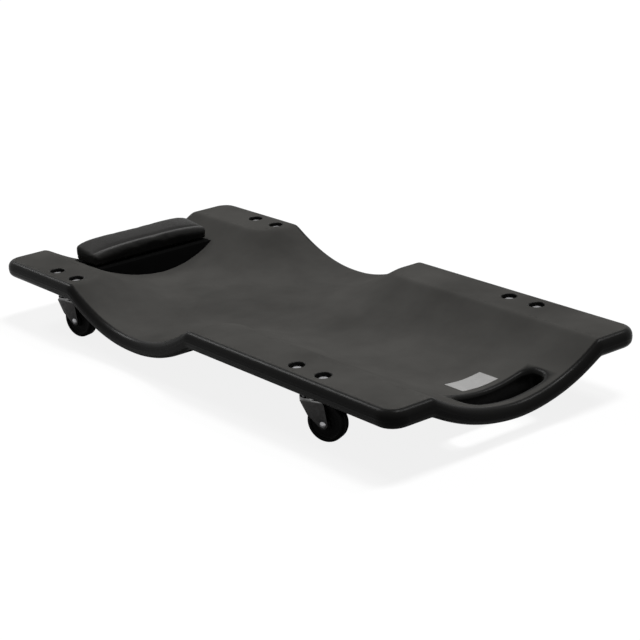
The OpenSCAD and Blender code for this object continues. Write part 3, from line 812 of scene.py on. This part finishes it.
def makeCushion(s):
    low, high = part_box("headrest_cushion")
    piece = newObject("headrestCushion", cushionLoft(s, low, high, s["start"]))
    withModifier(piece, "REMESH", mode="VOXEL", voxel_size=s["voxel"] * mm)
    blownUp(piece, s)
    withModifier(piece, "SMOOTH", factor=s["smoothShare"], iterations=s["smoothing"])
    withModifier(piece, "SUBSURF", levels=1, render_levels=1)
    near, far = s["longer"]
    fittedToBox(piece.data, low - Vector((0, near, 0)) * mm, high + Vector((0, far, s["taller"])) * mm)
    dressCushion(piece.data, s, low, high)
    mesh = piece.data
    bpy.data.objects.remove(piece)
    piece = newPiece("headrestCushion", mesh, "creeper", "cushion_vinyl")
    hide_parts("headrest_cushion")
    return piece


cushion = makeCushion(cushionSet)
print("cushion made:", len(cushion.data.polygons), "faces, simulated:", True)


# Turned shapes: a profile of radius and height swept round the upright axis
def turnedShape(profile, sides, closedLoop=False, rim=None):
    points, faces, n = [], [], len(profile)
    for k in range(sides):
        angle = 2 * pi * k / sides
        for radius, height in profile:
            r, z = rim(angle, radius, height) if rim else (radius, height)
            points.append((r * cos(angle), r * sin(angle), z))
    for k in range(sides):
        a, b = k * n, (k + 1) % sides * n
        faces += [(a + m, b + m, b + (m + 1) % n, a + (m + 1) % n) for m in range(n if closedLoop else n - 1)]
    if not closedLoop:
        faces += [tuple(k * n for k in range(sides)), tuple(k * n + n - 1 for k in range(sides))]
    return points, faces


def arcPoints(centre, radius, start, end, steps):
    turns = [radians(start + (end - start) * k / steps) for k in range(steps + 1)]
    return [(centre[0] + radius * cos(t), centre[1] + radius * sin(t)) for t in turns]


# Geometry Nodes: a tree with named inputs, and a piece made from it as a plain mesh
def newTree(name, inputs):
    tree = bpy.data.node_groups.new(name, "GeometryNodeTree")
    tree.is_modifier = True
    tree.interface.new_socket("Geometry", in_out="INPUT", socket_type="NodeSocketGeometry")
    for label, kind in inputs:
        tree.interface.new_socket(label, in_out="INPUT", socket_type="NodeSocket" + kind)
    tree.interface.new_socket("Geometry", in_out="OUTPUT", socket_type="NodeSocketGeometry")
    return tree, tree.nodes.new("NodeGroupInput").outputs, tree.nodes.new("NodeGroupOutput").inputs


def pieceFromTree(name, tree, values, points, body, slot):
    base = bpy.data.meshes.new(name + "Base")
    base.from_pydata(points, [], [])
    host = newObject(name + "Base", base)
    modifier = host.modifiers.new("pattern", "NODES")
    modifier.node_group = tree
    sockets = {i.name: i.identifier for i in tree.interface.items_tree if i.in_out == "INPUT"}
    for label, value in values.items():
        modifier[sockets[label]] = value
    bpy.context.view_layer.update()
    mesh = evaluatedMesh(host)
    bpy.data.objects.remove(host)
    mesh.name = name
    return newPiece(name, mesh, body, slot)


# Both trees end alike: the instances are made real and get their finish
def finishTree(tree, given, result, instances):
    real = addNode(tree, "GeometryNodeRealizeInstances", {"Geometry": instances})
    finish = addNode(tree, "GeometryNodeSetMaterial", {
        "Geometry": real.outputs["Geometry"], "Material": given["Finish"]})
    tree.links.new(finish.outputs["Geometry"], result["Geometry"])
    return tree


# Ball race: balls at even steps round the track
def makeRaceTree(segments, rings):
    tree, given, result = newTree("ballRace", [
        ("Ball Radius", "Float"), ("Track Radius", "Float"), ("Count", "Int"), ("Place", "Vector"),
        ("Finish", "Material")])
    circle = addNode(tree, "GeometryNodeMeshCircle", {
        "Vertices": given["Count"], "Radius": given["Track Radius"]})
    ball = addNode(tree, "GeometryNodeMeshUVSphere", {
        "Segments": segments, "Rings": rings, "Radius": given["Ball Radius"]})
    spread = addNode(tree, "GeometryNodeInstanceOnPoints", {
        "Points": circle.outputs["Mesh"], "Instance": ball.outputs["Mesh"]})
    moved = addNode(tree, "GeometryNodeTransform", {
        "Geometry": spread.outputs["Instances"], "Translation": given["Place"]})
    return finishTree(tree, given, result, moved.outputs["Geometry"])


# Fasteners: one turned master on every point, each at its own turn about the upright
def makeFastenerTree():
    tree, given, result = newTree("fasteners", [
        ("Fastener", "Object"), ("Turn Seed", "Int"), ("Largest Turn", "Float"), ("Finish", "Material")])
    master = addNode(tree, "GeometryNodeObjectInfo", {"Object": given["Fastener"]})
    turn = addNode(tree, "FunctionNodeRandomValue", {
        "Seed": given["Turn Seed"], 3: given["Largest Turn"]}, data_type="FLOAT")
    upright = addNode(tree, "ShaderNodeCombineXYZ", {"Z": turn.outputs[1]})
    spread = addNode(tree, "GeometryNodeInstanceOnPoints", {
        "Points": given["Geometry"], "Instance": master.outputs["Geometry"],
        "Rotation": upright.outputs[0]})
    return finishTree(tree, given, result, spread.outputs["Instances"])


boltSet = {
    "shaft": 3.0, "root": 2.55, "pitch": 1.0, "thread": (("root", 0), ("shaft", 0.5)), "threadFrom": 0.3,
    "tip": 0.2, "tipEdge": 0.4, "tail": 1.5,
    "head": 8.0, "headHigh": 3.6, "flat": 3.6, "domeSteps": 8, "domeTip": 0.03, "edge": 0.35,
    "washer": 10.0, "washerThick": 1.2, "bore": 3.15, "plateThick": 2.5,
    "nutAcross": 11.0, "nutHigh": 4.5, "nutBore": 3.05, "nutFace": 0.1, "nutChamfer": 30, "nutSides": 48,
    "sides": 40, "smooth": 32, "seed": 7,
}


# A thread's profile, turn by turn
def threadPoints(s, start, long):
    return [(s[key], start + (k + share) * s["pitch"])
            for k in range(int(long / s["pitch"])) for key, share in s["thread"]]


def boltShape(s, plateZ, headZ):
    low = plateZ - s["nutHigh"] - s["tail"]
    profile = [(s["tip"], low), (s["root"] - s["tipEdge"], low)]
    profile += threadPoints(s, low + s["threadFrom"], s["nutHigh"] + s["tail"])
    profile += [(s["shaft"], plateZ), (s["shaft"], headZ), (s["head"] - s["edge"], headZ)]
    for k in range(1, s["domeSteps"] + 1):
        share = cos(pi / 2 * k / s["domeSteps"])
        rise = s["headHigh"] * (1 - share ** s["flat"]) ** 0.5
        profile.append((s["head"] * max(share, s["domeTip"]), headZ + rise))
    return turnedShape(profile, s["sides"])


def washerShape(s, z):
    e = s["edge"]
    top = z + s["washerThick"]
    profile = [(s["bore"], z), (s["washer"] - e, z), (s["washer"], z + e), (s["washer"], top - e),
               (s["washer"] - e, top), (s["bore"], top)]
    return turnedShape(profile, s["sides"], closedLoop=True)


# A hexagon nut, its corners chamfered by a cone
def nutShape(s, z):
    flat = s["nutAcross"] / 2 * cos(radians(30))
    face, top = flat - s["nutFace"], z + s["nutHigh"]

    def rim(angle, radius, height):
        if radius <= face:
            return radius, height
        fromFlat = (degrees(angle) + 30) % 60 - 30
        hexagon = flat / cos(radians(fromFlat))
        drop = (hexagon - face) * tan(radians(s["nutChamfer"]))
        return hexagon, z + drop if height == z else top - drop

    profile = [(s["nutBore"], z), (face, z), (flat, z), (flat, top), (face, top), (s["nutBore"], top)]
    return turnedShape(profile, s["nutSides"], closedLoop=True, rim=rim)


# A pan-head screw with a cross recess, its head down
screwSet = {
    "head": 4.5, "headHigh": 3.0, "headEdge": 1.4, "shaft": 2.25, "root": 1.75, "pitch": 1.6,
    "thread": (("shaft", 0.25), ("root", 0.75)), "threadFrom": 0.6, "tip": 0.3, "tipLong": 2.0, "sides": 48,
    "arm": 2.5, "armHalf": 15, "deep": 1.5, "crossShare": 0.36, "floorShares": (0.5, 0.75), "slack": 0.01,
}


def screwShape(s, low, high):
    crossFloor, head, edge = low + s["deep"], low + s["headHigh"], s["headEdge"]

    # Between the arms of the cross the recess is drawn in
    def rim(angle, radius, height):
        if radius > s["arm"] or height > crossFloor + s["slack"]:
            return radius, height
        onArm = (degrees(angle) + s["armHalf"]) % 90 <= 2 * s["armHalf"] + s["slack"]
        return radius if onArm else radius * s["crossShare"], height

    profile = [(s["arm"] * share, crossFloor) for share in s["floorShares"]] + [(s["arm"], low)]
    profile += arcPoints((s["head"] - edge, low + edge), edge, -90, 0, 5)
    profile += [(s["head"], head), (s["shaft"], head)]
    profile += threadPoints(s, head + s["threadFrom"], high - head - s["tipLong"])
    profile.append((s["tip"], high))
    return turnedShape(profile, s["sides"], rim=rim)


fastenerTree = makeFastenerTree()


def fastenerPiece(name, node, shape, points, s):
    shapePoints, faces = shape
    mesh = closedMesh(name + "Master", [tuple(c * mm for c in p) for p in shapePoints], faces)
    mesh.set_sharp_from_angle(angle=radians(s["smooth"]))
    master = newObject(name + "Master", mesh)
    values = {"Fastener": master, "Turn Seed": s["seed"], "Largest Turn": 2 * pi,
              "Finish": finishes["bright_steel"]}
    piece = pieceFromTree(name, fastenerTree, values, points, "creeper", "bright_steel")
    bpy.data.objects.remove(master)
    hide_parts(node)


def makeFasteners(bolt, screw):
    plateZ = deckForm.under - bolt["plateThick"]
    wellZ = deckForm.top - deckSet["wellDepth"]
    headZ = wellZ + bolt["washerThick"]
    points = [((x + a * deckSet["boltPitch"] / 2) * mm, b * deckForm.casterY * mm, 0)
              for x in deckForm.casterX for a in (-1, 1) for b in (-1, 1)]
    fastenerPiece("deckBolts", "deck_bolts", boltShape(bolt, plateZ, headZ), points, bolt)
    fastenerPiece("deckWashers", "deck_washers", washerShape(bolt, wellZ), points, bolt)
    fastenerPiece("plateNuts", "plate_nuts", nutShape(bolt, plateZ - bolt["nutHigh"]), points, bolt)
    low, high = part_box("headrest_screws")
    reach = high.y - screw["head"] * mm
    points = [((low.x + high.x) / 2, side * reach, 0) for side in (-1, 1)]
    shape = screwShape(screw, low.z / mm, high.z / mm)
    fastenerPiece("headrestScrews", "headrest_screws", shape, points, bolt)


makeFasteners(boltSet, screwSet)
print("fasteners made")

# Casters: each corner's place and turns come from the frame's joints
casterSet = {
    "ballRadius": 2.4, "trackRadius": 11.5, "balls": 12, "ballSegments": 20, "ballRings": 12,
    "tread": 26.0, "treadWide": 16.5, "shoulder": 3.5, "rim": 5.5, "rimEdge": 0.6, "dish": 2.5, "fillet": 1.2,
    "hub": 8.5, "hubWide": 22.5, "hubEdge": 0.8, "bore": 4.6, "boreEdge": 0.4,
    "grooveMouth": 2.2, "grooveFloor": 1.9, "grooveDeep": 0.4, "sides": 96, "smooth": 35,
    "seam": 0.15, "seamPlaces": ((1.0, 0), (0.75, 1), (0.3, 1), (0.12, 0)),
    # Where the fork's painted highlight lies below its top, and how much of it up-facing flat faces get
    "bend": 2.8, "bendWide": 0.9, "top": 0.3, "topWide": 0.5, "flatNormal": 0.98, "flatHighlightShare": 0.4,
}
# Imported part, new piece, body, slot, width and steps of the rounding
roundedPieces = (
    ("plate_", "topPlate_", "creeper", "plate_steel", 0.4, 2),
    ("kingpin_", "kingpinRivet_", "creeper", "bright_steel", 0.5, 3),
    ("fork_", "pressedFork_", "caster_", "fork_steel", 0.7, 3),
    ("axle_", "axleRivet_", "caster_", "bright_steel", 0.8, 4),
    ("bush_", "wheelBush_", "caster_", "bright_steel", 0.2, 2),
)
raceTree = makeRaceTree(casterSet["ballSegments"], casterSet["ballRings"])


# The wheel's right half from bore to tread, then the same mirrored
def wheelProfile(s):
    half, hub, tread = s["treadWide"] / 2, s["hubWide"] / 2, s["tread"]
    web, side, f = tread - s["rim"], half - s["dish"], s["fillet"]
    inner, outer, edge, shoulder = s["boreEdge"], s["hubEdge"], s["rimEdge"], s["shoulder"]
    right = [(s["bore"], hub - inner), (s["bore"] + inner, hub)]
    right += arcPoints((s["hub"] - outer, hub - outer), outer, 90, 0, 4)
    right += arcPoints((s["hub"] + f, side + f), f, 180, 270, 5)
    middle, low = (s["hub"] + web) / 2, side - s["grooveDeep"]
    mouth, floor = s["grooveMouth"], s["grooveFloor"]
    right += [(middle - mouth, side), (middle - floor, low), (middle + floor, low), (middle + mouth, side)]
    right += arcPoints((web - f, side + f), f, 270, 360, 5)
    right += arcPoints((web + edge, half - edge), edge, 180, 90, 4)
    right += arcPoints((tread - shoulder, half - shoulder), shoulder, 90, 0, 8)
    right += [(tread - sunk * s["seam"], z) for z, sunk in s["seamPlaces"]]
    return right + [(r, -z) for r, z in reversed(right)]


# Marks a fork's upper edges and bends for a painted highlight, bright where light would catch them
def markPaintedHighlight(mesh, topZ, s):
    wear = mesh.attributes.new("wear", "FLOAT", "POINT")
    for vertex, value in zip(mesh.vertices, wear.data):
        below = (topZ - vertex.co.z) / mm
        near = max(bell(below - s["bend"], s["bendWide"]), bell(below - s["top"], s["topWide"]))
        # Up-facing flat faces get only part of the painted highlight
        value.value = near if abs(vertex.normal.z) < s["flatNormal"] else s["flatHighlightShare"] * near


def makeCaster(corner, swivel, spin, s):
    x, y, z = swivel["pos_m"]
    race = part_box("balls_" + corner)
    values = {"Ball Radius": s["ballRadius"] * mm, "Track Radius": s["trackRadius"] * mm, "Count": s["balls"],
              "Place": (x, y, (race[0].z + race[1].z) / 2), "Finish": finishes["ball_steel"]}
    balls = pieceFromTree("balls_ring_" + corner, raceTree, values, [], "creeper", "ball_steel")
    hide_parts("balls_" + corner)
    for node, name, body, slot, width, segments in roundedPieces:
        body = body if body == "creeper" else body + corner
        piece = roundedCopy(node + corner, name + corner, body, slot, width, segments)
        # The fork gets a painted highlight on its upper edges and bends
        if node == "fork_":
            markPaintedHighlight(piece.data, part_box("fork_" + corner)[1].z, s)
    points, faces = turnedShape(wheelProfile(s), s["sides"], closedLoop=True)
    turn = Vector((0, 0, 1)).rotation_difference(Vector(spin["axis"])).to_matrix()
    centre = Vector(spin["pos_m"])
    placed = [tuple(centre + turn @ (Vector(p) * mm)) for p in points]
    mesh = closedMesh("rubberWheel_" + corner, placed, faces)
    wheel = newPiece(mesh.name, mesh, "roller_" + corner, "wheel_rubber")
    mesh.set_sharp_from_angle(angle=radians(s["smooth"]))
    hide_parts("wheel_" + corner)


joints = {joint["name"]: joint for joint in frame["joints"]}
for corner in ("head_left", "head_right", "foot_left", "foot_right"):
    makeCaster(corner, joints["swivel_" + corner], joints["spin_" + corner], casterSet)
print("casters made")

# Floor, light and background: a pale floor and three broad suns
stageSet = {
    "floorSize": 60.0, "ambient": 0.07, "sunWide": 16.0,
    "suns": (("top", 1.75, (0.05, 0.25, 1.0)), ("head", 0.85, (-0.75, -0.05, 0.66)),
             ("side", 0.9, (0.05, 0.57, 0.82))),
    "floorGlow": 0.86, "floorWhite": 0.17, "mirrorGlow": 0.1, "mirrorWhite": 0.75, "floorDark": 0.07,
}


def floorShader(tree, glow, white):
    emission = addNode(tree, "ShaderNodeEmission", {"Strength": glow})
    diffuse = addNode(tree, "ShaderNodeBsdfDiffuse", {"Color": (white, white, white, 1)})
    return addNode(tree, "ShaderNodeAddShader", {0: emission.outputs[0], 1: diffuse.outputs[0]}).outputs[0]


def makeFloor(s):
    material = bpy.data.materials.new("paleFloor")
    tree = clearTree(material)
    paths = tree.nodes.new("ShaderNodeLightPath")
    shader = floorShader(tree, 0, s["floorDark"])
    mirrored = floorShader(tree, s["mirrorGlow"], s["mirrorWhite"])
    seen = floorShader(tree, s["floorGlow"], s["floorWhite"])
    looks = {"Is Glossy Ray": mirrored, "Is Transmission Ray": mirrored, "Is Camera Ray": seen}
    for name, look in looks.items():
        mix = addNode(tree, "ShaderNodeMixShader", {0: paths.outputs[name], 1: shader, 2: look})
        shader = mix.outputs[0]
    addNode(tree, "ShaderNodeOutputMaterial", {0: shader})
    mesh = bpy.data.meshes.new("paleFloor")
    half = s["floorSize"] / 2
    corners = [(-half, -half, 0), (half, -half, 0), (half, half, 0), (-half, half, 0)]
    mesh.from_pydata(corners, [], [(0, 1, 2, 3)])
    mesh.materials.append(material)
    newObject("paleFloor", mesh)


def makeSuns(s):
    for name, strength, place in s["suns"]:
        lamp = bpy.data.lights.new(name + "Sun", "SUN")
        lamp.energy = strength
        lamp.angle = radians(s["sunWide"])
        sun = newObject(name + "Sun", lamp)
        sun.rotation_euler = Vector(place).to_track_quat("Z", "Y").to_euler()


# White where a camera, glossy or transmission ray looks, dim for scattered light
def makeWorld(s):
    scene.world = scene.world or bpy.data.worlds.new("studio")
    tree = clearTree(scene.world)
    paths = tree.nodes.new("ShaderNodeLightPath")
    seen = paths.outputs["Is Camera Ray"]
    for name in ("Is Glossy Ray", "Is Transmission Ray"):
        seen = addMath(tree, "MAXIMUM", seen, paths.outputs[name])
    sky = addNode(tree, "ShaderNodeBackground", {"Color": (1, 1, 1, 1), "Strength": s["ambient"]})
    white = addNode(tree, "ShaderNodeBackground", {"Color": (1, 1, 1, 1)})
    mix = addNode(tree, "ShaderNodeMixShader", {0: seen, 1: sky.outputs[0], 2: white.outputs[0]})
    addNode(tree, "ShaderNodeOutputWorld", {0: mix.outputs[0]})


makeFloor(stageSet)
makeWorld(stageSet)
makeSuns(stageSet)
scene.view_settings.view_transform = "Standard"
print("stage made")
